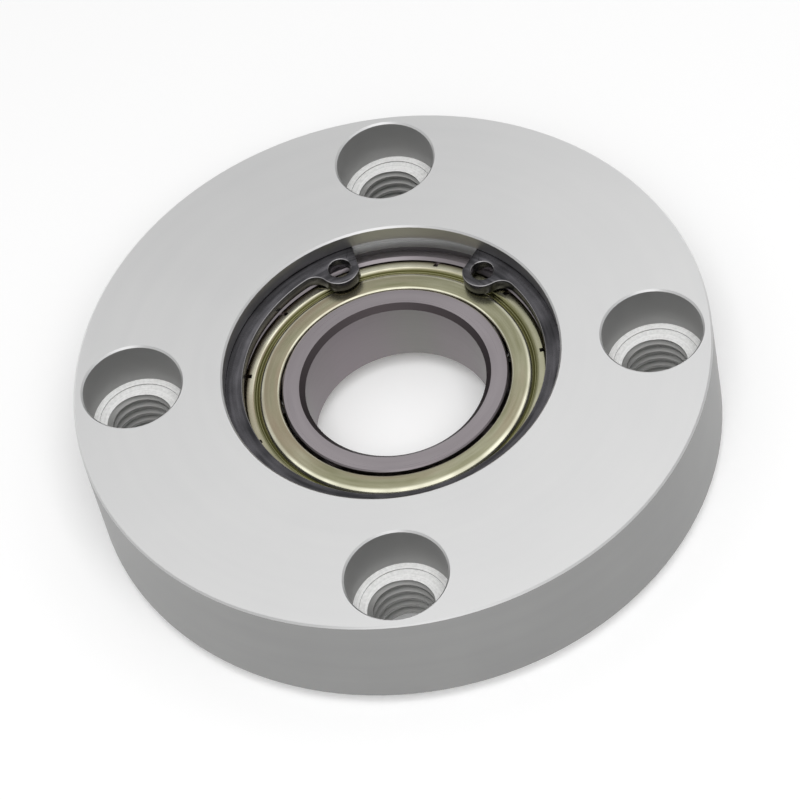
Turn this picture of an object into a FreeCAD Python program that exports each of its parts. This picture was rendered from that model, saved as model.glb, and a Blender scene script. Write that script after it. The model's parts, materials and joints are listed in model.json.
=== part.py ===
import FreeCAD, Part
import math
import os

# Round flange bearing unit, in millimetres
# Z is the shaft axis and Z = 0 is the flange's mounting face. The pilot boss points down, the
# retaining ring looks up, and the screw holes lie on the X and Y axes.

# Deep groove ball bearing
shaft_diameter = 20.0
bearing_diameter = 37.0
bearing_width = 9.0
ring_chamfer = 0.6
land_chamfer = 0.15
ball_diameter = 4.762
ball_count = 11
ball_clearance = 0.03
groove_conformity = 0.52
inner_groove_depth = 0.66
outer_groove_depth = 1.31

# Ball cage: two pressed ribbons, riveted together between the balls
cage_sheet = 0.45
cage_band = 1.7
pocket_clearance = 0.1
rivet_diameter = 0.9
rivet_clearance = 0.02
rivet_head_diameter = 1.5
rivet_head_height = 0.3

# Shields: pressed sheet rings, their outer edge crimped into a groove of the outer ring
shield_sheet = 0.25
shield_bend = 0.2
shield_shoulder_bend = 0.5
shield_recess = 0.25
shield_step = 0.45
shield_edge_drop = 0.45
shield_gap = 0.25
shield_shoulder = 0.5
shield_trough = 0.24
shield_bead_rise = 0.12
shield_bead = 0.84
shield_crimp = 0.445
shield_edge_clearance = 0.03
shield_groove_wall = 1.4
shield_lip_depth = 0.3
shield_lip_overlap = 0.25
notch_count = 11
notch_width = 0.5
front_notch_angle = 7.0
rear_notch_angle = 18.0

# Housing: bearing seat, shoulder lip, pilot boss and flange
seat_clearance = 0.01
shoulder_height = 2.4
shoulder_reach = 1.0
rim_height = 2.0
seat_chamfer = 0.2
edge_chamfer = 0.2
pilot_height = 2.0
pilot_wall = 4.49
rim_wall = 1.0

# Screw holes: counterbored from the retaining ring's side, tapped right through below
screw_count = 4
counterbore_diameter = 11.0
counterbore_depth = 6.0
counterbore_chamfer = 0.2
counterbore_step_diameter = 9.6
counterbore_step_height = 0.15
tap_drill_diameter = 6.8
thread_mouth_diameter = 8.15
screw_land = 1.425

# Retaining ring and its groove
snap_thickness = 1.5
snap_play = 0.1
snap_groove_depth = 1.0
snap_clearance = 0.05
snap_back_width = 3.05
snap_end_width = 2.5
snap_lug_diameter = 4.5
snap_lug_reach = 5.45
snap_lug_end = 2.1
snap_lug_spread = 59.5
snap_hole_diameter = 2.5
snap_root_radius = 1.6
snap_angle = 80.7

# How far a cutting shape runs past the face that it cuts, and how near two places count as one
overrun = 1.0
tolerance = 0.001

# Heights
housing_bottom = -pilot_height
bearing_bottom = housing_bottom + shoulder_height
bearing_middle = bearing_bottom + bearing_width / 2
bearing_top = bearing_bottom + bearing_width
snap_groove_top = bearing_top + snap_thickness + snap_play
flange_top = snap_groove_top + rim_height
counterbore_floor = flange_top - counterbore_depth

# Radii of the bearing
shaft_radius = shaft_diameter / 2
bearing_radius = bearing_diameter / 2
pitch_radius = (shaft_radius + bearing_radius) / 2
ball_radius = ball_diameter / 2
groove_radius = groove_conformity * ball_diameter
inner_groove_bottom = pitch_radius - ball_radius - ball_clearance
outer_groove_bottom = pitch_radius + ball_radius + ball_clearance
inner_land = inner_groove_bottom + inner_groove_depth
outer_land = outer_groove_bottom - outer_groove_depth
shield_groove = bearing_radius - shield_groove_wall
shield_shelf_depth = shield_recess + shield_step + shield_sheet

# Radii of the housing
seat_radius = bearing_radius + seat_clearance
lip_radius = seat_radius - shoulder_reach
pilot_radius = seat_radius + pilot_wall
snap_groove_radius = seat_radius + snap_groove_depth
screw_circle_radius = pilot_radius + screw_land + thread_mouth_diameter / 2
flange_radius = screw_circle_radius + counterbore_diameter / 2 + rim_wall

origin = FreeCAD.Vector(0, 0, 0)
z_axis = FreeCAD.Vector(0, 0, 1)


def polar(radius, angle, z=0):
    """Point at a radius and an angle in degrees round the shaft axis"""
    turn = math.radians(angle)
    return FreeCAD.Vector(radius * math.cos(turn), radius * math.sin(turn), z)


def turned(face):
    """Solid of revolution of a face round the shaft axis"""
    return face.revolve(origin, z_axis, 360)


def section(points):
    """Face in the XZ plane inside a closed outline of (radius, height) corners"""
    corners = [FreeCAD.Vector(radius, 0, z) for radius, z in points]
    return Part.Face(Part.makePolygon(corners + corners[:1]))


def patterned(shape, count, first_angle=0.0):
    """Copies of a shape at equal angles round the shaft axis"""
    copies = []
    for number in range(count):
        copy = shape.copy()
        copy.rotate(origin, z_axis, first_angle + number * 360 / count)
        copies.append(copy)
    return copies


def annulus(inner_radius, outer_radius, bottom, height):
    """Flat ring between two radii"""
    base = FreeCAD.Vector(0, 0, bottom)
    disc = Part.makeCylinder(outer_radius, height, base)
    return disc.cut(Part.makeCylinder(inner_radius, height, base))


def mirrored_in_bearing(shape):
    """The same shape on the other side of the bearing's middle plane"""
    return shape.mirror(FreeCAD.Vector(0, 0, bearing_middle), z_axis)


def raceway(centre_radius):
    """Torus that cuts a ball groove into a bearing ring"""
    return Part.makeTorus(centre_radius, groove_radius, FreeCAD.Vector(0, 0, bearing_middle), z_axis)


def flange_housing():
    """Flange, pilot boss, stepped bearing seat and snap ring groove, turned, then drilled"""
    body = turned(section([
        (lip_radius + edge_chamfer, housing_bottom),
        (pilot_radius - edge_chamfer, housing_bottom),
        (pilot_radius, housing_bottom + edge_chamfer),
        (pilot_radius, 0),
        (flange_radius - edge_chamfer, 0),
        (flange_radius, edge_chamfer),
        (flange_radius, flange_top - edge_chamfer),
        (flange_radius - edge_chamfer, flange_top),
        (seat_radius + seat_chamfer, flange_top),
        (seat_radius, flange_top - seat_chamfer),
        (seat_radius, snap_groove_top),
        (snap_groove_radius, snap_groove_top),
        (snap_groove_radius, bearing_top),
        (seat_radius, bearing_top),
        (seat_radius, bearing_bottom),
        (lip_radius, bearing_bottom),
        (lip_radius, housing_bottom + edge_chamfer),
    ]))
    drill = screw_drill()
    drill.translate(FreeCAD.Vector(screw_circle_radius, 0, 0))
    return body.cut(patterned(drill, screw_count))


def screw_drill():
    """What drilling, countersinking and counterboring take out for one screw"""
    tap_radius = tap_drill_diameter / 2
    mouth_radius = thread_mouth_diameter / 2
    mouth_depth = mouth_radius - tap_radius
    step_radius = counterbore_step_diameter / 2
    bore_radius = counterbore_diameter / 2
    return turned(section([
        (0, -overrun),
        (mouth_radius + overrun, -overrun),
        (tap_radius, mouth_depth),
        (tap_radius, counterbore_floor),
        (step_radius, counterbore_floor),
        (step_radius, counterbore_floor + counterbore_step_height),
        (bore_radius, counterbore_floor + counterbore_step_height),
        (bore_radius, flange_top - counterbore_chamfer),
        (bore_radius + counterbore_chamfer + overrun, flange_top + overrun),
        (0, flange_top + overrun),
    ]))


def retaining_ring():
    """Snap ring for a bore: an eccentric band, open between two lugs with plier holes"""
    base = FreeCAD.Vector(0, 0, bearing_top)
    outer_radius = snap_groove_radius - snap_clearance
    inner_radius = outer_radius - (snap_back_width + snap_end_width) / 2
    inner_centre = base + FreeCAD.Vector((snap_back_width - snap_end_width) / 2, 0, 0)
    lug_radius = snap_lug_diameter / 2
    lug_circle = outer_radius - snap_lug_reach + lug_radius
    lug_angle = snap_lug_spread / 2
    gap_angle = lug_angle - math.degrees(math.asin(snap_lug_end / lug_circle))
    lugs = [polar(lug_circle, side * lug_angle, bearing_top) for side in (-1, 1)]

    band = Part.makeCylinder(outer_radius, snap_thickness, base)
    band = band.cut(Part.makeCylinder(inner_radius, snap_thickness, inner_centre))
    ends = annulus(lug_circle, outer_radius, bearing_top, snap_thickness).common(snap_sector(lug_angle))
    lug_discs = [Part.makeCylinder(lug_radius, snap_thickness, lug) for lug in lugs]
    ring = band.fuse([ends] + lug_discs).cut(snap_sector(gap_angle)).removeSplitter()
    roots = [edge for edge in ring.Edges if is_lug_root(edge, lugs, inner_centre, inner_radius)]
    ring = ring.makeFillet(snap_root_radius, roots)
    ring = ring.cut([Part.makeCylinder(snap_hole_diameter / 2, snap_thickness, lug) for lug in lugs])
    ring.rotate(origin, z_axis, snap_angle)
    return ring


def snap_sector(half_angle):
    """Pie slice as thick as the snap ring, to either side of the X axis"""
    base = FreeCAD.Vector(0, 0, bearing_top)
    wedge = Part.makeCylinder(snap_groove_radius, snap_thickness, base, z_axis, 2 * half_angle)
    wedge.rotate(origin, z_axis, -half_angle)
    return wedge


def is_lug_root(edge, lugs, inner_centre, inner_radius):
    """Whether an edge is the upright corner between a lug and the band's inner edge"""
    foot = edge.CenterOfMass - FreeCAD.Vector(0, 0, snap_thickness / 2)
    upright = abs(edge.Length - snap_thickness) < tolerance and edge.BoundBox.ZLength > edge.Length - tolerance
    on_lug = any(abs(foot.distanceToPoint(lug) - snap_lug_diameter / 2) < tolerance for lug in lugs)
    on_band = abs(foot.distanceToPoint(inner_centre) - inner_radius) < tolerance
    return upright and on_lug and on_band


def inner_ring():
    """Inner bearing ring with the shaft bore and a ball groove outside"""
    body = turned(section([
        (shaft_radius + ring_chamfer, bearing_bottom),
        (inner_land - land_chamfer, bearing_bottom),
        (inner_land, bearing_bottom + land_chamfer),
        (inner_land, bearing_top - land_chamfer),
        (inner_land - land_chamfer, bearing_top),
        (shaft_radius + ring_chamfer, bearing_top),
        (shaft_radius, bearing_top - ring_chamfer),
        (shaft_radius, bearing_bottom + ring_chamfer),
    ]))
    return body.cut(raceway(inner_groove_bottom + groove_radius))


def outer_ring():
    """Outer bearing ring with a ball groove inside and an undercut groove at each end for a shield"""
    lip = shield_groove - shield_lip_overlap
    half = [
        (bearing_radius, bearing_middle),
        (bearing_radius, bearing_top - ring_chamfer),
        (bearing_radius - ring_chamfer, bearing_top),
        (lip + shield_lip_depth, bearing_top),
        (lip, bearing_top - shield_lip_depth),
        (shield_groove, bearing_top - shield_lip_depth),
        (shield_groove, bearing_top - shield_shelf_depth),
        (outer_land, bearing_top - shield_shelf_depth),
        (outer_land, bearing_middle),
    ]
    front = turned(section(half))
    body = front.fuse(mirrored_in_bearing(front)).removeSplitter()
    return body.cut(raceway(outer_groove_bottom - groove_radius))


def front_shield(first_notch):
    """Pressed ring: rolled inner edge, flat, sloping shoulder, trough on a shelf, crimped bead"""
    half_sheet = shield_sheet / 2
    flat = bearing_top - shield_recess - half_sheet
    trough = flat - shield_step
    inner_edge = inner_land + shield_gap + half_sheet
    crimp = shield_groove - shield_edge_clearance - half_sheet
    bead_end = crimp - shield_crimp
    bead_start = bead_end - shield_bead
    trough_end = bead_start - shield_bead_rise
    trough_start = trough_end - shield_trough
    flat_end = trough_start - shield_shoulder
    path = rounded_path([
        (inner_edge, flat - shield_edge_drop, 0),
        (inner_edge, flat, shield_bend),
        (flat_end, flat, shield_shoulder_bend),
        (trough_start, trough, shield_bend),
        (trough_end, trough, shield_bend),
        (bead_start, flat, shield_bend),
        (bead_end, flat, shield_bend),
        (crimp, trough, 0),
    ])
    body = turned(Part.Face(path.makeOffset2D(half_sheet)))
    notch_start = (bead_start + bead_end) / 2
    notch = Part.makeBox(
        shield_groove - notch_start + overrun,
        notch_width,
        shield_shelf_depth,
        FreeCAD.Vector(notch_start, -notch_width / 2, bearing_top - shield_shelf_depth),
    )
    return body.cut(patterned(notch, notch_count, first_notch))


def rounded_path(points):
    """Open wire in the XZ plane along (radius, height, bend radius) corners"""
    corners = [FreeCAD.Vector(x, 0, z) for x, z, _ in points]
    bends = [bend for _, _, bend in points[1:-1]]
    edges = []
    start = corners[0]
    for before, corner, after, radius in zip(corners, corners[1:], corners[2:], bends):
        back = (before - corner).normalize()
        ahead = (after - corner).normalize()
        half_angle = back.getAngle(ahead) / 2
        reach = radius / math.tan(half_angle)
        inward = (back + ahead).normalize()
        middle = corner + inward * (radius / math.sin(half_angle) - radius)
        arc_start = corner + back * reach
        arc_end = corner + ahead * reach
        edges.append(Part.makeLine(start, arc_start))
        edges.append(Part.Arc(arc_start, middle, arc_end).toShape())
        start = arc_end
    edges.append(Part.makeLine(start, corners[-1]))
    return Part.Wire(edges)


def ball_centre(number):
    """Centre of a numbered ball"""
    return polar(pitch_radius, number * 360 / ball_count, bearing_middle)


def front_cage():
    """Upper ribbon of the cage: a cup over each ball and a flat web with a rivet hole between"""
    inner_radius = pitch_radius - cage_band / 2
    outer_radius = pitch_radius + cage_band / 2
    pocket_radius = ball_radius + pocket_clearance
    cup_radius = pocket_radius + cage_sheet
    centres = [ball_centre(number) for number in range(ball_count)]
    band = annulus(inner_radius, outer_radius, bearing_middle, cup_radius)
    cups = [band.common(Part.makeSphere(cup_radius, centre)) for centre in centres]
    body = annulus(inner_radius, outer_radius, bearing_middle, cage_sheet).fuse(cups)
    body = body.cut([Part.makeSphere(pocket_radius, centre) for centre in centres])
    hole = Part.makeCylinder(
        rivet_diameter / 2 + rivet_clearance,
        cage_sheet,
        FreeCAD.Vector(pitch_radius, 0, bearing_middle),
    )
    return body.cut(patterned(hole, ball_count, 180 / ball_count)).removeSplitter()


def cage_rivets():
    """Group of rivets, each with a shank through both ribbons and a flat head on either side"""
    shank_radius = rivet_diameter / 2
    head_radius = rivet_head_diameter / 2
    half = turned(section([
        (0, bearing_middle),
        (shank_radius, bearing_middle),
        (shank_radius, bearing_middle + cage_sheet),
        (head_radius, bearing_middle + cage_sheet),
        (shank_radius, bearing_middle + cage_sheet + rivet_head_height),
        (0, bearing_middle + cage_sheet + rivet_head_height),
    ]))
    rivet = half.fuse(mirrored_in_bearing(half)).removeSplitter()
    rivet.translate(FreeCAD.Vector(pitch_radius, 0, 0))
    return Part.makeCompound(patterned(rivet, ball_count, 180 / ball_count))


def pieces():
    """Every piece of the unit by its node name"""
    cage = front_cage()
    found = {
        "flange_housing": flange_housing(),
        "retaining_ring": retaining_ring(),
        "outer_ring": outer_ring(),
        "inner_ring": inner_ring(),
        "front_shield": front_shield(front_notch_angle),
        "rear_shield": mirrored_in_bearing(front_shield(rear_notch_angle)),
        "front_cage": cage,
        "rear_cage": mirrored_in_bearing(cage),
        "cage_rivets": cage_rivets(),
    }
    for number in range(ball_count):
        found[f"ball_{number + 1:02d}"] = Part.makeSphere(ball_radius, ball_centre(number))
    return found


os.makedirs("parts", exist_ok=True)
for name, shape in pieces().items():
    shape.exportStep(f"parts/{name}.step")
    print(name, "solids", len(shape.Solids), "valid", shape.isValid(), "volume", round(shape.Volume, 3))
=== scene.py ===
import json
import math

import bmesh
import bpy
from mathutils import Matrix, Vector

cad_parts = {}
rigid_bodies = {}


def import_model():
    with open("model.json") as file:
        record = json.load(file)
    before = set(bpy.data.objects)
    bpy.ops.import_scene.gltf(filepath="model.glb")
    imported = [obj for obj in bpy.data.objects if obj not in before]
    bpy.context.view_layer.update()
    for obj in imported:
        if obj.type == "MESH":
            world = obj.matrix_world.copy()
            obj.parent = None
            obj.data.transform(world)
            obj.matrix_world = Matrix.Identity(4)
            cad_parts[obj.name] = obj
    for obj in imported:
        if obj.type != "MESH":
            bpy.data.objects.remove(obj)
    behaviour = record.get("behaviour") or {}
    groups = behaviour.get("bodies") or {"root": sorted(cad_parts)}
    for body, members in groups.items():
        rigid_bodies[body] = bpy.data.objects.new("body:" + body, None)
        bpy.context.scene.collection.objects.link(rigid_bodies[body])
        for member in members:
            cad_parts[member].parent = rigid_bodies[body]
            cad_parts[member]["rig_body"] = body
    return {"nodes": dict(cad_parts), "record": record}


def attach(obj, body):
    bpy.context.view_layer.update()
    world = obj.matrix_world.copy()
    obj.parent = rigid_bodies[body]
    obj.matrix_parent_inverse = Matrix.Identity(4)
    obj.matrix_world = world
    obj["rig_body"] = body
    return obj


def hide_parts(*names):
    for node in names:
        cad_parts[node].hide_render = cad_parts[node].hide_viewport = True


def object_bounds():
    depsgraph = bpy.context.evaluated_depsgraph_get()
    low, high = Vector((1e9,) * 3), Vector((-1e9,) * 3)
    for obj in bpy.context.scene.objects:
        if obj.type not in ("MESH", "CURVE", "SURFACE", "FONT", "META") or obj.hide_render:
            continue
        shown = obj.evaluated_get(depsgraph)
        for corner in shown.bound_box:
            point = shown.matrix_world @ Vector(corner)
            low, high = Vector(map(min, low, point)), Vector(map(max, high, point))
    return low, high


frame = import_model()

cad_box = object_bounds()

# Lengths are in metres, angles in degrees
MM = 0.001

# Mesh clean-up: joining of split edges, rounding of stamped edges, and the angle of a sharp edge
WELD_DISTANCE = 0.0001 * MM
EDGE_ROUNDING = 0.2 * MM
ROUNDING_SEGMENTS = 3
SHARP_ANGLE = 30

# Screw thread M8 in the four flange holes
THREAD_PITCH = 1.25 * MM
THREAD_MAJOR_RADIUS = 4.0 * MM
THREAD_ROOT_HALF_WIDTH = THREAD_PITCH / 16
THREAD_FLANK_SLOPE = math.tan(math.radians(30))
THREAD_STEPS_PER_TURN = 64

# How far the thread's cutter starts inside the drilled wall and runs past the hole's mouths
CUTTER_INSIDE = 0.22 * MM
CUTTER_OVERRUN = 2 * THREAD_PITCH

# Shields: place in the rings, thickness, bends, steps and widths of the sheet, as in the solids
SHIELD_RECESS = 0.25 * MM
SHIELD_GAP = 0.25 * MM
SHIELD_GROOVE_WALL = 1.4 * MM
SHIELD_EDGE_CLEARANCE = 0.03 * MM
SHIELD_SHEET = 0.25 * MM
SHIELD_BEND = 0.2 * MM
SHIELD_SHOULDER_BEND = 0.5 * MM
SHIELD_STEP = 0.45 * MM
SHIELD_EDGE_DROP = 0.45 * MM
SHIELD_SHOULDER = 0.5 * MM
SHIELD_TROUGH = 0.24 * MM
SHIELD_BEAD_RISE = 0.12 * MM
SHIELD_BEAD = 0.84 * MM
SHIELD_CRIMP = 0.445 * MM

# Notches in the shields' bead, and the size of the blocks that cut them
NOTCH_COUNT = 11
NOTCH_WIDTH = 0.5 * MM
NOTCH_REACH = 2.0 * MM
FRONT_NOTCH_ANGLE = 7
REAR_NOTCH_ANGLE = 18

# Fineness of the shields' mesh: steps round the shaft axis, and degrees of bend for each step
SHIELD_STEPS = 288
BEND_STEP = 6

# Zones of the shields' colour by radius, from the bore outwards, and the sides where it differs
# Painted highlights, partly wear, on the inner edge, the outer bend of the flat and the bead
HIGHLIGHT_EDGE_END = 13.0 * MM
HIGHLIGHT_SHOULDER_START = 14.6 * MM
HIGHLIGHT_SHOULDER_END = 15.1 * MM
# Painted shade: the trough is darker
TROUGH_SHADE_START = 15.1 * MM
TROUGH_SHADE_END = 15.76 * MM
HIGHLIGHT_BEAD_START = 15.88 * MM
HIGHLIGHT_BEAD_END = 16.25 * MM
HIGHLIGHT_SIDE_SHIFT = 0.22 * MM
HIGHLIGHT_SIDE_ANGLE = 122
STAIN_ANGLE = 160

# Soft edge between two finishes, and how far below a face or inside a rim the next one starts
SOFT_EDGE = 0.1 * MM
FACE_MARGIN = 0.5 * MM

# Photo's viewing direction and distance, with lens and sensor in millimetres
CAMERA_AZIMUTH = 9.44
CAMERA_ELEVATION = 51.94
CAMERA_ROLL = 13.57
CAMERA_DISTANCE = 0.42
CAMERA_LENS = 172
CAMERA_SENSOR = 36

# White ground, which glows a little where it is seen or mirrored
FLOOR_SIZE = 6.0
FLOOR_COLOUR = (0.90, 0.90, 0.90)
FLOOR_GLOW = 0.14
FLOOR_CLEARANCE = 0.02 * MM

# Surround: its light on matt surfaces, and its brightness in metal and behind the object
SKY_ON_MATT = 0.25
SKY_IN_METAL = 0.56
SKY_BEHIND = 1.0

# Softboxes: name, place, width and depth, power in watts, and whether metal mirrors them
SOFTBOXES = [
    ("overhead softbox", (0.05, -0.08, 0.80), (1.40, 1.40), 3.4, True),
    ("front softbox", (0.06, -0.62, 0.50), (0.6, 0.3), 0.22, True),
    ("matt fill", (0.08, -0.32, 0.64), (0.4, 0.4), 2.85, False),
]


def record_mount(name):
    return next(m for m in frame["record"]["mounts"] if m["name"] == name)


def node_box(name):
    """Lowest and highest corner of the box round a CAD node."""
    corners = frame["nodes"][name].bound_box
    return [Vector(tuple(map(pick, *corners))) for pick in (min, max)]


# Sizes and places from the frame
SCREW_HOLES = record_mount("screw_holes")
SCREW_COUNT = SCREW_HOLES["dims"]["count"]
SCREW_CIRCLE_RADIUS = SCREW_HOLES["dims"]["pcd_mm"] * MM / 2
TAP_DRILL_RADIUS = SCREW_HOLES["dims"]["hole_r_mm"] * MM
POCKET_RADIUS = record_mount("screw_head_pockets")["dims"]["hole_r_mm"] * MM
POCKET_FLOOR = 2 * SCREW_HOLES["pos_m"][2]
FLANGE_TOP = cad_box[1][2]
FLANGE_RADIUS = cad_box[1][0]
BORE_RADIUS = record_mount("shaft_bore")["dims"]["r_mm"] * MM
INNER_RING_RADIUS = node_box("inner_ring")[1].x
OUTER_RING_LOW, OUTER_RING_HIGH = node_box("outer_ring")
BEARING_MIDDLE = (OUTER_RING_LOW.z + OUTER_RING_HIGH.z) / 2
SHIELD_GROOVE = OUTER_RING_HIGH.x - SHIELD_GROOVE_WALL

# Middle line of the front shield's sheet: radius, height and bend radius of each corner
HALF_SHEET = SHIELD_SHEET / 2
FLAT_HEIGHT = OUTER_RING_HIGH.z - SHIELD_RECESS - HALF_SHEET
TROUGH_HEIGHT = FLAT_HEIGHT - SHIELD_STEP
INNER_EDGE = INNER_RING_RADIUS + SHIELD_GAP + HALF_SHEET
CRIMPED_EDGE = SHIELD_GROOVE - SHIELD_EDGE_CLEARANCE - HALF_SHEET
BEAD_END = CRIMPED_EDGE - SHIELD_CRIMP
BEAD_START = BEAD_END - SHIELD_BEAD
TROUGH_END = BEAD_START - SHIELD_BEAD_RISE
TROUGH_START = TROUGH_END - SHIELD_TROUGH
FLAT_END = TROUGH_START - SHIELD_SHOULDER
SHIELD_LINE = [
    (INNER_EDGE, FLAT_HEIGHT - SHIELD_EDGE_DROP, 0.0),
    (INNER_EDGE, FLAT_HEIGHT, SHIELD_BEND),
    (FLAT_END, FLAT_HEIGHT, SHIELD_SHOULDER_BEND),
    (TROUGH_START, TROUGH_HEIGHT, SHIELD_BEND),
    (TROUGH_END, TROUGH_HEIGHT, SHIELD_BEND),
    (BEAD_START, FLAT_HEIGHT, SHIELD_BEND),
    (BEAD_END, FLAT_HEIGHT, SHIELD_BEND),
    (CRIMPED_EDGE, TROUGH_HEIGHT, 0.0),
]
NOTCH_START = (BEAD_START + BEAD_END) / 2
NOTCH_LOW = TROUGH_HEIGHT - HALF_SHEET


# Node trees

class Shading:
    """A new material with a Principled shader, and short calls for the nodes that feed it."""

    def __init__(self, name, colour, metallic, roughness):
        self.material = bpy.data.materials.new(name)
        self.material.use_nodes = True
        self.tree = self.material.node_tree
        self.shader = self.tree.nodes["Principled BSDF"]
        self.set("Base Color", (*colour, 1.0))
        self.set("Metallic", metallic)
        self.set("Roughness", roughness)

    def set(self, socket, value):
        self.shader.inputs[socket].default_value = value

    def link(self, output, target):
        self.tree.links.new(output, target)

    def feed(self, output, socket):
        self.link(output, self.shader.inputs[socket])

    def node(self, kind, inputs=(), **settings):
        node = self.tree.nodes.new(kind)
        for key, value in settings.items():
            setattr(node, key, value)
        for socket, value in dict(inputs).items():
            target = node.inputs[socket]
            if isinstance(value, bpy.types.NodeSocket):
                self.link(value, target)
            else:
                target.default_value = value
        return node

    def math(self, operation, *values):
        return self.node("ShaderNodeMath", enumerate(values), operation=operation).outputs[0]

    def vector(self, x=0.0, y=0.0, z=0.0):
        return self.node("ShaderNodeCombineXYZ", {"X": x, "Y": y, "Z": z}).outputs[0]

    def axis_coordinates(self):
        """Radius, angle in radians and height of the shaded point about the shaft axis."""
        point = self.node("ShaderNodeTexCoord").outputs["Object"]
        xyz = self.node("ShaderNodeSeparateXYZ", {0: point}).outputs
        flat = self.vector(xyz["X"], xyz["Y"])
        radius = self.node("ShaderNodeVectorMath", {0: flat}, operation="LENGTH").outputs["Value"]
        angle = self.math("ARCTAN2", xyz["Y"], xyz["X"])
        return radius, angle, xyz["Z"]

    def noise(self, vector, scale, detail):
        inputs = {"Vector": vector, "Scale": scale, "Detail": detail}
        return self.node("ShaderNodeTexNoise", inputs).outputs["Fac"]

    def axis_noise(self, across, drift, along=0.0, detail=2.0):
        """Noise over two lengths that drifts with the angle about the shaft axis, with no seam."""
        _, angle, _ = self.axis_coordinates()
        turn = [self.math("MULTIPLY", self.math(kind, angle), drift) for kind in ("COSINE", "SINE")]
        point = self.vector(across, *turn)
        inputs = {"Vector": point, "W": along, "Scale": 1.0, "Detail": detail}
        return self.node("ShaderNodeTexNoise", inputs, noise_dimensions="4D").outputs["Fac"]

    def object_noise(self, size, detail=3.0):
        """Noise with features of about that size all over the piece."""
        point = self.node("ShaderNodeTexCoord").outputs["Object"]
        return self.noise(point, 1 / size, detail)

    def ranged(self, value, low, high, from_low=0.0, from_high=1.0):
        inputs = {
            "Value": value,
            "From Min": from_low,
            "From Max": from_high,
            "To Min": low,
            "To Max": high,
        }
        return self.node("ShaderNodeMapRange", inputs).outputs["Result"]

    def step(self, value, edge, width):
        """0 below the edge and 1 above it, with a soft change of that width."""
        return self.ranged(value, 0.0, 1.0, edge - width / 2, edge + width / 2)

    def below(self, value, edge, width):
        return self.outside(self.step(value, edge, width))

    def outside(self, mask):
        """1 where the mask is 0."""
        return self.math("SUBTRACT", 1.0, mask)

    def inside(self, *masks):
        """1 where every mask is 1."""
        product = masks[0]
        for mask in masks[1:]:
            product = self.math("MULTIPLY", product, mask)
        return product

    def any_of(self, *masks):
        """1 where one mask or more is 1."""
        largest = masks[0]
        for mask in masks[1:]:
            largest = self.math("MAXIMUM", largest, mask)
        return largest

    def weighted(self, first, first_weight, second, second_weight):
        """Sum of two values, each times its weight."""
        scaled = self.math("MULTIPLY", first, first_weight)
        return self.math("ADD", scaled, self.math("MULTIPLY", second, second_weight))

    def mix_colour(self, factor, low, high):
        node = self.node("ShaderNodeMix", data_type="RGBA")
        for index, value in ((0, factor), (6, low), (7, high)):
            if isinstance(value, bpy.types.NodeSocket):
                self.link(value, node.inputs[index])
            else:
                node.inputs[index].default_value = (*value, 1.0)
        return node.outputs[2]

    def bump(self, height, depth, previous=None):
        """Normal of a surface whose height is depth metres for a value of 1."""
        inputs = {"Height": self.math("MULTIPLY", height, depth), "Distance": 1.0, "Strength": 1.0}
        if previous is not None:
            inputs["Normal"] = previous
        return self.node("ShaderNodeBump", inputs).outputs["Normal"]

    def squareness(self):
        """1 on faces square to the shaft axis and 0 on walls along it."""
        normal = self.node("ShaderNodeTexCoord").outputs["Normal"]
        along = self.node("ShaderNodeSeparateXYZ", {0: normal}).outputs["Z"]
        return self.math("ABSOLUTE", along)

    def facing(self):
        """1 on faces square to the shaft axis and their chamfers, 0 on walls along it."""
        return self.step(self.squareness(), 0.6, 0.1)

    def chamfers(self):
        """1 on chamfers and 0 on both faces and walls."""
        slant = self.math("SUBTRACT", self.squareness(), math.sqrt(0.5))
        return self.below(self.math("ABSOLUTE", slant), 0.15, 0.1)

    def toward(self, degrees):
        """1 on the side at that angle about the shaft axis, and -1 on the side opposite."""
        _, angle, _ = self.axis_coordinates()
        return self.math("COSINE", self.math("SUBTRACT", angle, math.radians(degrees)))

    def screw_axis_distance(self):
        """Distance of the shaded point from the axis of the nearest screw hole."""
        radius, angle, _ = self.axis_coordinates()
        sector = math.tau / SCREW_COUNT
        turned = self.math("FLOORED_MODULO", self.math("ADD", angle, sector / 2), sector)
        folded = self.math("SUBTRACT", turned, sector / 2)
        along = self.math("MULTIPLY", radius, self.math("COSINE", folded))
        across = self.math("MULTIPLY", radius, self.math("SINE", folded))
        offset = self.vector(self.math("SUBTRACT", along, SCREW_CIRCLE_RADIUS), across)
        return self.node("ShaderNodeVectorMath", {0: offset}, operation="LENGTH").outputs["Value"]

    def turned_lines(self, spacing, drift=0.35):
        """Lathe marks: rings on faces, circles on walls, wandering slowly with the angle."""
        radius, _, height = self.axis_coordinates()
        across = self.math("MULTIPLY", radius, 1 / spacing)
        along = self.math("MULTIPLY", height, 1 / spacing)
        return self.axis_noise(across, drift, along)

    def spin_gloss(self, amount):
        """Highlights stretched across the lathe marks."""
        self.set("Anisotropic", amount)
        tangent = self.node("ShaderNodeTangent", direction_type="RADIAL", axis="Z")
        self.feed(tangent.outputs[0], "Tangent")


# Finishes. A pair of colours holds the darker and the lighter end of a finish.

FACE_COLOURS = (0.76, 0.762, 0.765), (0.84, 0.84, 0.835)
# Painted shade: walls along the axis are darker copies of the face colour, the outer rim darkest
SHADED_INNER_WALL_COLOURS = (0.42, 0.42, 0.42), (0.50, 0.50, 0.495)
SHADED_RIM_WALL_COLOURS = (0.26, 0.26, 0.26), (0.33, 0.33, 0.325)
POCKET_FLOOR_COLOURS = (0.80, 0.80, 0.79), (0.98, 0.98, 0.97)
THREAD_COLOUR = (0.52, 0.52, 0.51)
GROUND_COLOURS = (0.285, 0.258, 0.272), (0.41, 0.375, 0.392)
HONED_COLOURS = (0.265, 0.265, 0.25), (0.29, 0.26, 0.275)
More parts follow.
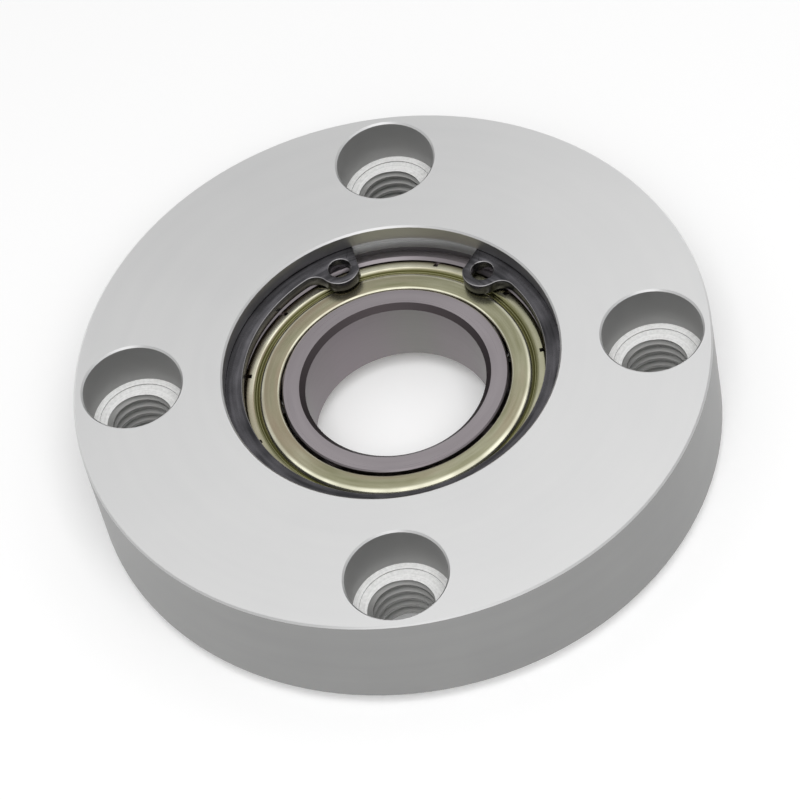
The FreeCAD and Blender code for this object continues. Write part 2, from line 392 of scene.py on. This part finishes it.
# Painted shade on the inner ring's bore chamfers
SHADED_CHAMFER_COLOUR = (0.10, 0.085, 0.09)
PLATING_COLOURS = (0.26, 0.255, 0.145), (0.50, 0.49, 0.355)
STAIN_COLOUR = (0.42, 0.345, 0.25)
# Painted shade in the shields' trough
TROUGH_SHADE_COLOUR = (0.28, 0.275, 0.15)
# Near-white painted highlight, partly wear, on the shields' bends
HIGHLIGHT_AND_WEAR_COLOUR = (0.92, 0.90, 0.72)
BLACKENED_COLOURS = (0.035, 0.035, 0.038), (0.138, 0.134, 0.146)
# Painted highlight, partly wear, on the snap ring's rounded edges
RUBBED_EDGE_AND_HIGHLIGHT_COLOUR = (0.42, 0.41, 0.42)
CAGE_COLOURS = (0.50, 0.49, 0.47), (0.64, 0.63, 0.61)
BALL_COLOURS = (0.62, 0.62, 0.63), (0.69, 0.69, 0.70)


def housing_aluminium():
    s = Shading("machined aluminium", (0.80, 0.80, 0.80), metallic=1.0, roughness=0.36)
    facing = s.facing()
    radius, _, height = s.axis_coordinates()
    distance = s.screw_axis_distance()
    sunk = s.below(height, FLANGE_TOP - FACE_MARGIN, SOFT_EDGE)
    above_thread = s.step(height, POCKET_FLOOR - SOFT_EDGE, SOFT_EDGE / 2)
    in_pocket = s.below(distance, POCKET_RADIUS + SOFT_EDGE, SOFT_EDGE)
    pocket = s.inside(facing, sunk, above_thread, in_pocket)
    pocket_wall = s.inside(s.outside(facing), above_thread, in_pocket)
    in_thread = s.below(distance, THREAD_MAJOR_RADIUS + 2 * SOFT_EDGE, SOFT_EDGE)
    thread = s.inside(s.outside(above_thread), in_thread)
    rim = s.step(radius, FLANGE_RADIUS - FACE_MARGIN, SOFT_EDGE)

    fine = s.turned_lines(spacing=0.16 * MM)
    broad = s.turned_lines(spacing=1.6 * MM, drift=0.8)
    cloud = s.object_noise(size=9 * MM)
    tone = s.weighted(broad, 0.5, cloud, 0.5)
    # Painted shade: walls take darker copies of the face colour, the outer rim darkest
    shaded_inner_wall = s.mix_colour(tone, *SHADED_INNER_WALL_COLOURS)
    wall = s.mix_colour(rim, shaded_inner_wall, s.mix_colour(tone, *SHADED_RIM_WALL_COLOURS))
    turned = s.mix_colour(facing, wall, s.mix_colour(tone, *FACE_COLOURS))

    ring_spacing = 0.22 * MM
    rings = s.noise(s.vector(s.math("MULTIPLY", distance, 1 / ring_spacing)), scale=1.0, detail=2.0)
    chatter = s.object_noise(size=0.35 * MM, detail=2.0)
    marks = s.ranged(s.math("ADD", rings, chatter), 0.0, 1.0, from_low=0.75, from_high=1.2)
    milled = s.mix_colour(pocket, turned, s.mix_colour(marks, *POCKET_FLOOR_COLOURS))
    s.feed(s.mix_colour(thread, milled, THREAD_COLOUR), "Base Color")

    rough = s.math("ADD", s.ranged(facing, 0.44, 0.34), s.ranged(broad, -0.02, 0.02))
    dulled = s.weighted(s.any_of(pocket, thread), 0.2, pocket_wall, 0.3)
    s.feed(s.math("ADD", rough, dulled), "Roughness")
    s.feed(s.ranged(pocket, 1.0, 0.1), "Metallic")

    grain = s.bump(s.object_noise(size=0.12 * MM, detail=2.0), depth=0.001 * MM)
    wall_depth, face_depth, pocket_depth = 0.006 * MM, 0.0022 * MM, 0.02 * MM
    turning = s.math("MULTIPLY", fine, s.ranged(facing, wall_depth, face_depth))
    milling = s.math("MULTIPLY", marks, s.math("MULTIPLY", pocket, pocket_depth))
    s.feed(s.bump(s.math("ADD", turning, milling), depth=1.0, previous=grain), "Normal")
    s.spin_gloss(0.3)
    return s.material


def bearing_steel():
    s = Shading("ground bearing steel", (0.33, 0.30, 0.31), metallic=1.0, roughness=0.28)
    radius, _, _ = s.axis_coordinates()
    bore = s.below(radius, BORE_RADIUS + SOFT_EDGE / 2, SOFT_EDGE / 2)
    # Painted shade: the inner ring's bore chamfers are painted near-black
    shaded_chamfer = s.inside(s.chamfers(), s.below(radius, BORE_RADIUS + 2 * FACE_MARGIN, SOFT_EDGE))

    fine = s.turned_lines(spacing=0.07 * MM, drift=0.6)
    broad = s.turned_lines(spacing=0.8 * MM, drift=1.2)
    ground = s.mix_colour(broad, *GROUND_COLOURS)
    tint = s.step(s.axis_noise(across=0.0, drift=0.8), edge=0.5, width=0.3)
    oiled = s.mix_colour(bore, ground, s.mix_colour(tint, *HONED_COLOURS))
    s.feed(s.mix_colour(shaded_chamfer, oiled, SHADED_CHAMFER_COLOUR), "Base Color")

    dulled = s.math("MULTIPLY", s.any_of(bore, shaded_chamfer), 0.2)
    s.feed(s.math("ADD", s.ranged(fine, 0.22, 0.38), dulled), "Roughness")
    s.feed(s.bump(fine, depth=0.0015 * MM), "Normal")
    s.spin_gloss(0.4)
    return s.material


def shield_steel():
    s = Shading("plated shield sheet", (0.54, 0.52, 0.37), metallic=1.0, roughness=0.24)
    radius, _, _ = s.axis_coordinates()
    cloud = s.object_noise(size=5 * MM)
    sweep = s.axis_noise(across=0.0, drift=0.9, detail=3.0)
    streaks = s.turned_lines(spacing=0.45 * MM, drift=2.5)
    tone = s.weighted(s.weighted(cloud, 0.45, sweep, 0.55), 1.0, streaks, 0.8)
    mottled = s.ranged(tone, 0.0, 1.0, from_low=0.6, from_high=1.2)
    plated = s.mix_colour(mottled, *PLATING_COLOURS)

    patch_width = 2 * MM
    across = s.math("MULTIPLY", radius, 1 / patch_width)
    patches = s.axis_noise(across, drift=1.3, along=7.0)
    stain = s.weighted(s.toward(STAIN_ANGLE), 0.12, patches, 1.0)
    stained = s.ranged(stain, 0.0, 0.8, from_low=0.42, from_high=0.66)
    tanned = s.mix_colour(stained, plated, STAIN_COLOUR)

    # Painted highlight: the bead is lighter towards one side, and there the light zone reaches over
    # its inner side
    highlight_side = s.ranged(s.toward(HIGHLIGHT_SIDE_ANGLE), 0.0, 1.0, from_low=0.2, from_high=0.85)
    highlight_shifted_radius = s.math("MULTIPLY_ADD", highlight_side, HIGHLIGHT_SIDE_SHIFT, radius)
    # Painted shade: the trough is painted dark olive, reaching further out away from the
    # highlighted side
    trough_shade_start = s.step(radius, TROUGH_SHADE_START, 1.5 * SOFT_EDGE)
    trough_shade = s.inside(trough_shade_start, s.below(highlight_shifted_radius, TROUGH_SHADE_END, 1.6 * SOFT_EDGE))
    trough_shaded = s.mix_colour(trough_shade, tanned, TROUGH_SHADE_COLOUR)

    # Painted highlights, partly wear: near-white bands on the inner edge, the outer bend of the
    # flat and the bead, broken into patches by noise
    shoulder_highlight_start = s.step(radius, HIGHLIGHT_SHOULDER_START, 3 * SOFT_EDGE)
    shoulder_highlight = s.inside(shoulder_highlight_start, s.below(radius, HIGHLIGHT_SHOULDER_END, 2 * SOFT_EDGE))
    bead_highlight_start = s.step(highlight_shifted_radius, HIGHLIGHT_BEAD_START, 1.4 * SOFT_EDGE)
    bead_top_highlight = s.inside(bead_highlight_start, s.below(radius, HIGHLIGHT_BEAD_END, 4 * SOFT_EDGE))
    bead = s.math("MULTIPLY", bead_top_highlight, s.ranged(highlight_side, 0.2, 1.0))
    inner_edge = s.below(radius, HIGHLIGHT_EDGE_END, SOFT_EDGE)
    patch_noise = s.axis_noise(across=0.0, drift=4.0)
    patchiness = s.ranged(patch_noise, 0.5, 1.0, from_low=0.35, from_high=0.6)
    highlight_and_wear = s.math("MULTIPLY", s.any_of(shoulder_highlight, bead, inner_edge), patchiness)
    s.feed(s.mix_colour(highlight_and_wear, trough_shaded, HIGHLIGHT_AND_WEAR_COLOUR), "Base Color")

    s.feed(s.weighted(s.ranged(cloud, 0.18, 0.30), 1.0, highlight_and_wear, -0.06), "Roughness")
    drawn = s.turned_lines(spacing=0.12 * MM, drift=1.0)
    s.feed(s.bump(drawn, depth=0.001 * MM), "Normal")
    return s.material


def snap_ring_steel():
    s = Shading("oiled black spring steel", (0.085, 0.080, 0.095), metallic=0.9, roughness=0.30)
    cloud = s.object_noise(size=3 * MM)
    streaks = s.turned_lines(spacing=0.4 * MM, drift=2.5)
    oil = s.weighted(cloud, 0.6, streaks, 1.0)
    smeared = s.ranged(oil, 0.0, 1.0, from_low=0.55, from_high=1.05)
    blackened = s.mix_colour(smeared, *BLACKENED_COLOURS)
    # Painted highlight, partly wear: the rounded edges are lighter grey
    s.feed(s.mix_colour(s.chamfers(), blackened, RUBBED_EDGE_AND_HIGHLIGHT_COLOUR), "Base Color")
    rough = s.ranged(s.object_noise(size=0.6 * MM), 0.24, 0.42)
    s.feed(s.weighted(rough, 1.0, smeared, -0.10), "Roughness")
    s.feed(s.bump(s.object_noise(size=0.3 * MM, detail=2.0), depth=0.001 * MM), "Normal")
    return s.material


def cage_steel():
    s = Shading("pressed cage sheet", (0.58, 0.57, 0.55), metallic=1.0, roughness=0.34)
    cloud = s.object_noise(size=1.5 * MM)
    s.feed(s.mix_colour(cloud, *CAGE_COLOURS), "Base Color")
    s.feed(s.ranged(cloud, 0.26, 0.42), "Roughness")
    s.feed(s.bump(s.object_noise(size=0.15 * MM, detail=2.0), depth=0.0015 * MM), "Normal")
    return s.material


def ball_steel():
    s = Shading("polished ball steel", (0.66, 0.66, 0.67), metallic=1.0, roughness=0.08)
    cloud = s.object_noise(size=1.2 * MM)
    s.feed(s.mix_colour(cloud, *BALL_COLOURS), "Base Color")
    s.feed(s.ranged(cloud, 0.06, 0.12), "Roughness")
    return s.material


FINISHES = {
    "housing_aluminium": housing_aluminium(),
    "bearing_steel": bearing_steel(),
    "shield_steel": shield_steel(),
    "snap_ring_steel": snap_ring_steel(),
    "cage_steel": cage_steel(),
    "ball_steel": ball_steel(),
}


def paint(obj, finish):
    obj.data.materials.clear()
    obj.data.materials.append(finish)


# Meshes

def linked_object(mesh, name):
    """A new object in the scene with the mesh that was built, which is freed."""
    data = bpy.data.meshes.new(name)
    mesh.to_mesh(data)
    mesh.free()
    obj = bpy.data.objects.new(name, data)
    bpy.context.scene.collection.objects.link(obj)
    return obj


def solid_object(mesh, name):
    """A new object with its faces turned outwards."""
    bmesh.ops.recalc_face_normals(mesh, faces=mesh.faces)
    return linked_object(mesh, name)


def welded_copy(node, name):
    """The CAD node's mesh as a new object with its split face edges joined."""
    mesh = bmesh.new()
    mesh.from_mesh(node.data)
    bmesh.ops.remove_doubles(mesh, verts=mesh.verts, dist=WELD_DISTANCE)
    obj = linked_object(mesh, name)
    attributes = obj.data.attributes
    if "custom_normal" in attributes:
        attributes.remove(attributes["custom_normal"])
    return obj


def apply_modifiers(obj):
    graph = bpy.context.evaluated_depsgraph_get()
    data = bpy.data.meshes.new_from_object(obj.evaluated_get(graph))
    obj.modifiers.clear()
    obj.data = data


def cut_away(obj, cutters):
    """Cuts the cutters' forms out of the object and removes the cutters."""
    for cutter in cutters:
        cut = obj.modifiers.new("cut", "BOOLEAN")
        cut.operation = "DIFFERENCE"
        cut.solver = "EXACT"
        cut.object = cutter
    apply_modifiers(obj)
    for cutter in cutters:
        bpy.data.objects.remove(cutter)


def stand_in(obj, node_name, slot_name):
    """Shows the finer piece in place of the CAD node, on the same body and with the same finish."""
    obj.data.shade_smooth()
    obj.data.set_sharp_from_angle(angle=math.radians(SHARP_ANGLE))
    paint(obj, FINISHES[slot_name])
    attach(obj, frame["nodes"][node_name]["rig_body"])
    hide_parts(node_name)


# Threaded housing and snap ring

def thread_section(radius_inside):
    """Corners of the V groove as (radius, height) round the section, open side first."""
    half_width = THREAD_ROOT_HALF_WIDTH + (THREAD_MAJOR_RADIUS - radius_inside) * THREAD_FLANK_SLOPE
    return [
        (radius_inside, -half_width),
        (THREAD_MAJOR_RADIUS, -THREAD_ROOT_HALF_WIDTH),
        (THREAD_MAJOR_RADIUS, THREAD_ROOT_HALF_WIDTH),
        (radius_inside, half_width),
    ]


def thread_cutter(centre, low, high):
    """A right-hand helical groove from below the hole's lower mouth to above its upper mouth."""
    section = thread_section(TAP_DRILL_RADIUS - CUTTER_INSIDE)
    turns = (high - low) / THREAD_PITCH
    steps = math.ceil(turns * THREAD_STEPS_PER_TURN)
    mesh = bmesh.new()
    loops = []
    for step in range(steps + 1):
        angle = math.tau * turns * step / steps
        rise = low + (high - low) * step / steps
        loops.append([
            mesh.verts.new(centre + Vector((r * math.cos(angle), r * math.sin(angle), rise + z)))
            for r, z in section
        ])
    corners = len(section)
    for below, above in zip(loops, loops[1:]):
        for corner in range(corners):
            after = (corner + 1) % corners
            mesh.faces.new((below[corner], below[after], above[after], above[corner]))
    mesh.faces.new(list(reversed(loops[0])))
    mesh.faces.new(loops[-1])
    return solid_object(mesh, "thread_cutter")


def threaded_housing():
    """The flange housing with its four screw holes tapped from both ends."""
    housing = welded_copy(frame["nodes"]["flange_housing"], "threaded_housing")
    middle = SCREW_HOLES["pos_m"][2]
    reach = middle + CUTTER_OVERRUN
    cutters = []
    for index in range(SCREW_COUNT):
        turn = math.tau * index / SCREW_COUNT
        centre = Vector((math.cos(turn), math.sin(turn), 0)) * SCREW_CIRCLE_RADIUS
        centre.z = middle
        cutters.append(thread_cutter(centre, -reach, reach))
    cut_away(housing, cutters)
    stand_in(housing, "flange_housing", "housing_aluminium")


def deburred_ring():
    """The snap ring with its stamped edges tumbled round."""
    ring = welded_copy(frame["nodes"]["retaining_ring"], "deburred_retaining_ring")
    rounding = ring.modifiers.new("deburring", "BEVEL")
    rounding.width = EDGE_ROUNDING
    rounding.segments = ROUNDING_SEGMENTS
    rounding.limit_method = "ANGLE"
    rounding.angle_limit = math.radians(SHARP_ANGLE)
    apply_modifiers(ring)
    stand_in(ring, "retaining_ring", "snap_ring_steel")


# Shields, pressed with smooth bends

def bent_line(corners):
    """Points and directions along a line of (radius, height, bend) corners, each bend rounded."""
    spots = [Vector((r, z)) for r, z, _ in corners]
    first = (spots[1] - spots[0]).normalized()
    line = [(spots[0], first)]
    for before, spot, after, (_, _, bend) in zip(spots, spots[1:], spots[2:], corners[1:]):
        arriving = (spot - before).normalized()
        leaving = (after - spot).normalized()
        turn = math.atan2(arriving.cross(leaving), arriving.dot(leaving))
        side = Vector((-arriving.y, arriving.x)) * math.copysign(1, turn)
        centre = spot - arriving * bend * math.tan(abs(turn) / 2) + side * bend
        steps = math.ceil(abs(math.degrees(turn)) / BEND_STEP)
        for step in range(steps + 1):
            turned = Matrix.Rotation(turn * step / steps, 2)
            line.append((centre + turned @ (-side * bend), turned @ arriving))
    line.append((spots[-1], (spots[-1] - spots[-2]).normalized()))
    return line


def sheet_outline(line):
    """Closed outline of a sheet with round edges whose middle is the line."""
    upper = [spot + Vector((-way.y, way.x)) * HALF_SHEET for spot, way in line]
    lower = [spot - Vector((-way.y, way.x)) * HALF_SHEET for spot, way in line]
    first, first_way = line[0]
    last, last_way = line[-1]
    outer_edge = round_edge(last, last_way)
    inner_edge = round_edge(first, -first_way)
    return upper + outer_edge + lower[::-1] + inner_edge


def round_edge(spot, way):
    """Points between the ends of the half circle that closes a sheet's edge."""
    start = Vector((-way.y, way.x)) * HALF_SHEET
    steps = 180 // (2 * BEND_STEP)
    return [spot + Matrix.Rotation(-math.pi * step / steps, 2) @ start for step in range(1, steps)]


def lathe(outline, name):
    """Solid of revolution of a closed outline of (radius, height) points round the shaft axis."""
    mesh = bmesh.new()
    loops = []
    for step in range(SHIELD_STEPS):
        angle = math.tau * step / SHIELD_STEPS
        loops.append([
            mesh.verts.new((r * math.cos(angle), r * math.sin(angle), z))
            for r, z in outline
        ])
    count = len(outline)
    for here, there in zip(loops, loops[1:] + loops[:1]):
        for index in range(count):
            after = (index + 1) % count
            mesh.faces.new((here[index], there[index], there[after], here[after]))
    return solid_object(mesh, name)


def notch_cutters(first_angle):
    """Blocks that cut the notches into the front shield's bead."""
    mesh = bmesh.new()
    for index in range(NOTCH_COUNT):
        turn = Matrix.Rotation(math.radians(first_angle) + math.tau * index / NOTCH_COUNT, 4, "Z")
        middle = NOTCH_START + NOTCH_REACH / 2, 0, NOTCH_LOW + NOTCH_REACH / 2
        place = Matrix.Translation(middle)
        size = Matrix.Diagonal((NOTCH_REACH, NOTCH_WIDTH, NOTCH_REACH, 1))
        bmesh.ops.create_cube(mesh, size=1, matrix=turn @ place @ size)
    return solid_object(mesh, "notch_cutters")


def smooth_shield(node_name, first_notch, mirrored):
    """A shield with the solid's own form, meshed finely for clean highlights on its bends.

    The rear shield is the front one mirrored about the bearing's middle.
    """
    shield = lathe(sheet_outline(bent_line(SHIELD_LINE)), "smooth_" + node_name)
    cut_away(shield, [notch_cutters(first_notch)])
    if mirrored:
        upside_down = Matrix.Diagonal((1, 1, -1, 1))
        shield.data.transform(Matrix.Translation((0, 0, 2 * BEARING_MIDDLE)) @ upside_down)
        shield.data.flip_normals()
    stand_in(shield, node_name, "shield_steel")


# Floor, light and camera

def floor(height):
    """A plain square ground that isn't part of the object."""
    mesh = bmesh.new()
    bmesh.ops.create_grid(mesh, x_segments=1, y_segments=1, size=FLOOR_SIZE / 2)
    obj = linked_object(mesh, "floor")
    obj.location.z = height
    finish = Shading("floor finish", FLOOR_COLOUR, metallic=0.0, roughness=0.9)
    finish.set("Specular IOR Level", 0.0)
    finish.set("Emission Color", (1.0, 1.0, 1.0, 1.0))
    rays = finish.node("ShaderNodeLightPath").outputs
    kinds = ("Is Camera Ray", "Is Glossy Ray", "Is Transmission Ray")
    seen = finish.any_of(*(rays[kind] for kind in kinds))
    finish.feed(finish.math("MULTIPLY", seen, FLOOR_GLOW), "Emission Strength")
    paint(obj, finish.material)


def softbox(name, place, target, size, power, mirrored):
    lamp = bpy.data.lights.new(name, "AREA")
    lamp.shape = "RECTANGLE"
    lamp.size, lamp.size_y = size
    lamp.energy = power
    obj = bpy.data.objects.new(name, lamp)
    obj.location = place
    obj.rotation_euler = (target - Vector(place)).to_track_quat("-Z", "Y").to_euler()
    obj.visible_glossy = mirrored
    bpy.context.scene.collection.objects.link(obj)


def sky():
    """A plain white surround, whose strength depends on the kind of ray that meets it."""
    world = bpy.data.worlds.new("studio")
    world.use_nodes = True
    tree = world.node_tree
    background = tree.nodes["Background"]
    background.inputs["Color"].default_value = (1.0, 1.0, 1.0, 1.0)
    rays = tree.nodes.new("ShaderNodeLightPath").outputs
    levels = {
        "Is Camera Ray": SKY_BEHIND,
        "Is Glossy Ray": SKY_IN_METAL,
        "Is Transmission Ray": SKY_BEHIND,
    }
    strength = None
    for kind, level in levels.items():
        extra = tree.nodes.new("ShaderNodeMath")
        extra.operation = "MULTIPLY_ADD"
        tree.links.new(rays[kind], extra.inputs[0])
        extra.inputs[1].default_value = level - SKY_ON_MATT
        if strength is None:
            extra.inputs[2].default_value = SKY_ON_MATT
        else:
            tree.links.new(strength, extra.inputs[2])
        strength = extra.outputs[0]
    tree.links.new(strength, background.inputs["Strength"])
    bpy.context.scene.world = world


def photo_camera(target):
    """Looks at the target from the photo's direction, rolled as the photo was held."""
    azimuth = math.radians(CAMERA_AZIMUTH)
    elevation = math.radians(CAMERA_ELEVATION)
    back = Vector((
        math.sin(azimuth) * math.cos(elevation),
        -math.cos(azimuth) * math.cos(elevation),
        math.sin(elevation),
    ))
    data = bpy.data.cameras.new("photo camera")
    data.sensor_width = CAMERA_SENSOR
    data.lens = CAMERA_LENS
    data.clip_start = CAMERA_DISTANCE / 100
    obj = bpy.data.objects.new("photo_camera", data)
    facing = back.to_track_quat("Z", "Y").to_matrix().to_4x4()
    roll = Matrix.Rotation(math.radians(-CAMERA_ROLL), 4, "Z")
    obj.matrix_world = Matrix.Translation(target + back * CAMERA_DISTANCE) @ facing @ roll
    bpy.context.scene.collection.objects.link(obj)
    bpy.context.scene.camera = obj


# The scene

for part in frame["record"]["subparts"]:
    paint(frame["nodes"][part["node"]], FINISHES[part["material_slot"]])
threaded_housing()
deburred_ring()
smooth_shield("front_shield", FRONT_NOTCH_ANGLE, False)
smooth_shield("rear_shield", REAR_NOTCH_ANGLE, True)

low, high = (Vector(corner) for corner in cad_box)
middle = (low + high) / 2
floor(low.z - FLOOR_CLEARANCE)
for name, place, size, power, mirrored in SOFTBOXES:
    softbox(name, place, middle, size, power, mirrored)
sky()
photo_camera(middle)
bpy.context.scene.view_settings.view_transform = "Standard"
